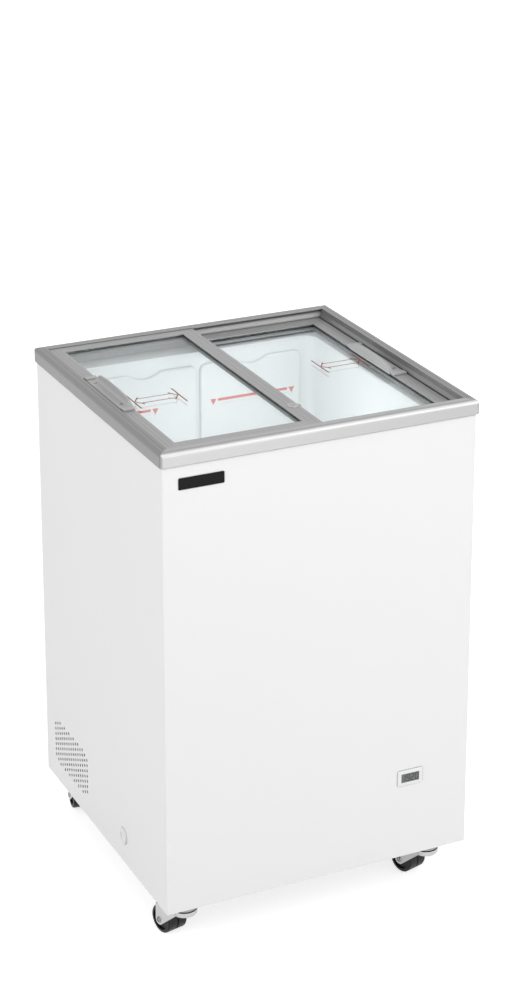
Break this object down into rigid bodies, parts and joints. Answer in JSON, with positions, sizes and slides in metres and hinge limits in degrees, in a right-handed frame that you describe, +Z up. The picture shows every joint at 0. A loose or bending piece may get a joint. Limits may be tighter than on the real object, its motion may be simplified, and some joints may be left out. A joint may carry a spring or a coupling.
{
  "type": "ice cream freezer",
  "caption": "White chest freezer for ice cream: grey top frame, sliding glass lids with handles and a lock, insulated tank, rear compressor and swivel castors.",
  "frame": {"origin": "on the floor, under the middle of the top frame", "axes": "+Z up, the front faces -Y and +X is to the right seen from the front"},
  "size_m": [0.573, 0.564, 0.903],
  "materials": {
    "white_sheet": "gloss",
    "galvanised_steel": "satin",
    "plated_steel": "satin",
    "white_liner": "satin",
    "aluminium_pipe": "satin",
    "steel_pipe": "satin",
    "copper": "satin",
    "foam": "matte",
    "black_steel": "satin",
    "black_rubber": "matte",
    "black_plastic": "gloss",
    "white_plastic": "satin",
    "grey_frame": "satin",
    "grey_lid": "satin",
    "lid_glass": "polished",
    "zinc_steel": "satin",
    "wheel_plastic": "matte"
  },
  "bodies": {
    "cabinet": {"outer_wrap": "white_sheet", "back_panel": "white_sheet", "base_pan": "galvanised_steel", "compartment_panel": "galvanised_steel", "rear_grille": "white_sheet", "grille_screws": "plated_steel", "tank_liner": "white_liner", "evaporator_coil": "aluminium_pipe", "condenser_coil": "steel_pipe", "foam_insulation": "foam", "filter_drier": "copper", "capillary_tube": "copper", "compressor": "black_steel", "compressor_grommets": "black_rubber", "relay_box": "black_plastic", "drain_tube": "white_plastic", "frame_front_rail": "grey_frame", "frame_back_rail": "grey_frame", "frame_left_rail": "grey_frame", "frame_right_rail": "grey_frame", "badge_plate": "black_plastic", "thermometer_bezel": "white_plastic", "thermometer_window": "black_plastic", "castor_stems": "zinc_steel", "castor_nuts": "plated_steel", "thermostat": "black_plastic", "cord_gland": "black_plastic"},
    "drain_plug": {"drain_plug": "white_plastic"},
    "thermostat_knob": {"thermostat_knob": "white_plastic"},
    "upper_lid": {"upper_lid_front_rail": "grey_lid", "upper_lid_back_rail": "grey_lid", "upper_lid_outer_rail": "grey_lid", "upper_lid_centre_bar": "grey_lid", "upper_lid_glass": "lid_glass", "upper_lid_handle": "grey_lid", "upper_handle_screws": "plated_steel", "lid_gap_seal": "black_rubber", "lock_barrel": "plated_steel"},
    "lock": {"lock_plug": "plated_steel", "lock_cam": "plated_steel"},
    "lower_lid": {"lower_lid_front_rail": "grey_lid", "lower_lid_back_rail": "grey_lid", "lower_lid_outer_rail": "grey_lid", "lower_lid_inner_rail": "grey_lid", "lower_lid_glass": "lid_glass", "lower_lid_handle": "grey_lid", "lower_handle_screws": "plated_steel", "lock_keeper": "grey_lid"},
    "castor_fl": {"fork_fl": "zinc_steel", "axle_fl": "zinc_steel"},
    "wheel_fl": {"wheel_fl": "wheel_plastic"},
    "castor_fr": {"fork_fr": "zinc_steel", "axle_fr": "zinc_steel"},
    "wheel_fr": {"wheel_fr": "wheel_plastic"},
    "castor_rl": {"fork_rl": "zinc_steel", "axle_rl": "zinc_steel"},
    "wheel_rl": {"wheel_rl": "wheel_plastic"},
    "castor_rr": {"fork_rr": "zinc_steel", "axle_rr": "zinc_steel"},
    "wheel_rr": {"wheel_rr": "wheel_plastic"}
  },
  "joints": [
    {"name": "upper_lid_slide", "type": "slide", "parent": "cabinet", "child": "upper_lid", "axis": [1, 0, 0], "range_m": [0, 0.22]},
    {"name": "lower_lid_slide", "type": "slide", "parent": "cabinet", "child": "lower_lid", "axis": [1, 0, 0], "range_m": [-0.22, 0]},
    {"name": "lock_turn", "type": "hinge", "parent": "upper_lid", "child": "lock", "pos_m": [-0.0025, -0.17, 0.88], "axis": [0, 0, -1], "range_deg": [0, 90]},
    {"name": "drain_plug_pull", "type": "slide", "parent": "cabinet", "child": "drain_plug", "axis": [-1, 0, 0], "range_m": [0, 0.035]},
    {"name": "thermostat_turn", "type": "hinge", "parent": "cabinet", "child": "thermostat_knob", "pos_m": [0.215, 0.266, 0.2], "axis": [0, 1, 0], "range_deg": [0, 270]},
    {"name": "swivel_fl", "type": "hinge", "parent": "cabinet", "child": "castor_fl", "pos_m": [-0.2415, -0.2545, 0.058], "axis": [0, 0, 1], "continuous": true},
    {"name": "roll_fl", "type": "hinge", "parent": "castor_fl", "child": "wheel_fl", "pos_m": [-0.25106, -0.21309, 0.025], "axis": [-0.9744, -0.225, 0], "continuous": true},
    {"name": "swivel_fr", "type": "hinge", "parent": "cabinet", "child": "castor_fr", "pos_m": [0.2175, -0.2545, 0.058], "axis": [0, 0, 1], "continuous": true},
    {"name": "roll_fr", "type": "hinge", "parent": "castor_fr", "child": "wheel_fr", "pos_m": [0.20578, -0.21365, 0.025], "axis": [-0.9613, -0.2756, 0], "continuous": true},
    {"name": "swivel_rl", "type": "hinge", "parent": "cabinet", "child": "castor_rl", "pos_m": [-0.2415, 0.194, 0.058], "axis": [0, 0, 1], "continuous": true},
    {"name": "roll_rl", "type": "hinge", "parent": "castor_rl", "child": "wheel_rl", "pos_m": [-0.23558, 0.23609, 0.025], "axis": [-0.9903, 0.1392, 0], "continuous": true},
    {"name": "swivel_rr", "type": "hinge", "parent": "cabinet", "child": "castor_rr", "pos_m": [0.2175, 0.194, 0.058], "axis": [0, 0, 1], "continuous": true},
    {"name": "roll_rr", "type": "hinge", "parent": "castor_rr", "child": "wheel_rr", "pos_m": [0.21012, 0.23585, 0.025], "axis": [-0.9848, -0.1736, 0], "continuous": true}
  ]
}
